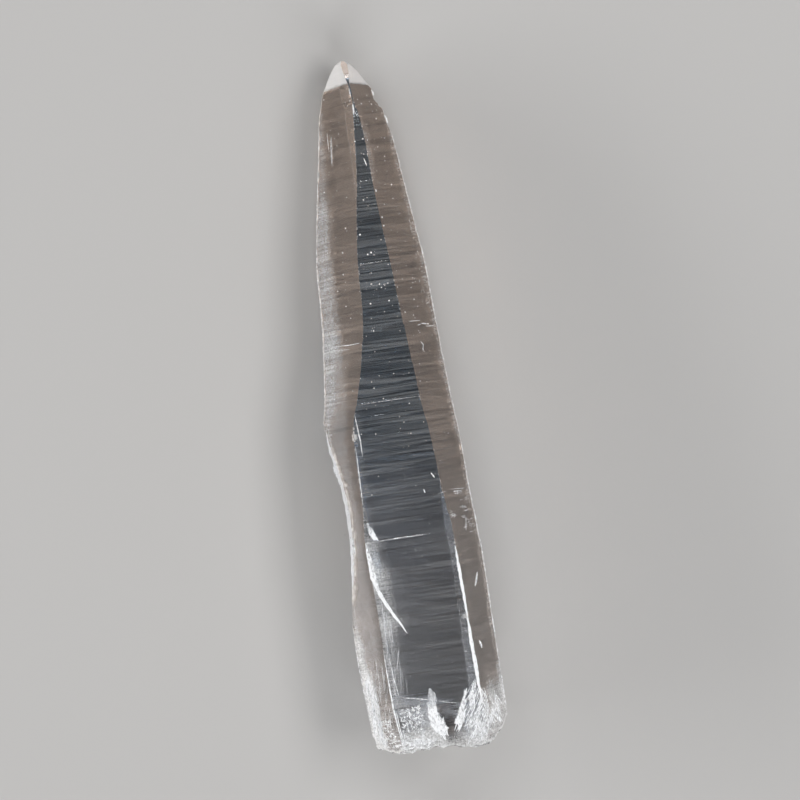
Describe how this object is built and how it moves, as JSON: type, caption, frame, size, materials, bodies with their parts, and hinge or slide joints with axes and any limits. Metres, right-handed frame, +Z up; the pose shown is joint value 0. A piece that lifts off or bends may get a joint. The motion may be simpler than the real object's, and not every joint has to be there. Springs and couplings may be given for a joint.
{
  "type": "lemurian quartz crystal",
  "caption": "Long tapering clear quartz point with stepped, striated prism faces, a six-sided tip and a rough broken base, lying on its flat back face.",
  "frame": {"origin": "on the floor, under the middle of the crystal's box as it lies on its back face", "axes": "+Y along the crystal towards its point, +Z up out of the front face, +X across to the crystal's right side seen from above with the point away"},
  "size_m": [0.0278, 0.1378, 0.0193],
  "materials": {
    "clear_quartz": "natural clear quartz, glassy with fine cross striations, frosted on the broken base"
  },
  "bodies": {
    "root": {"quartz_crystal": "clear_quartz"}
  },
  "joints": []
}
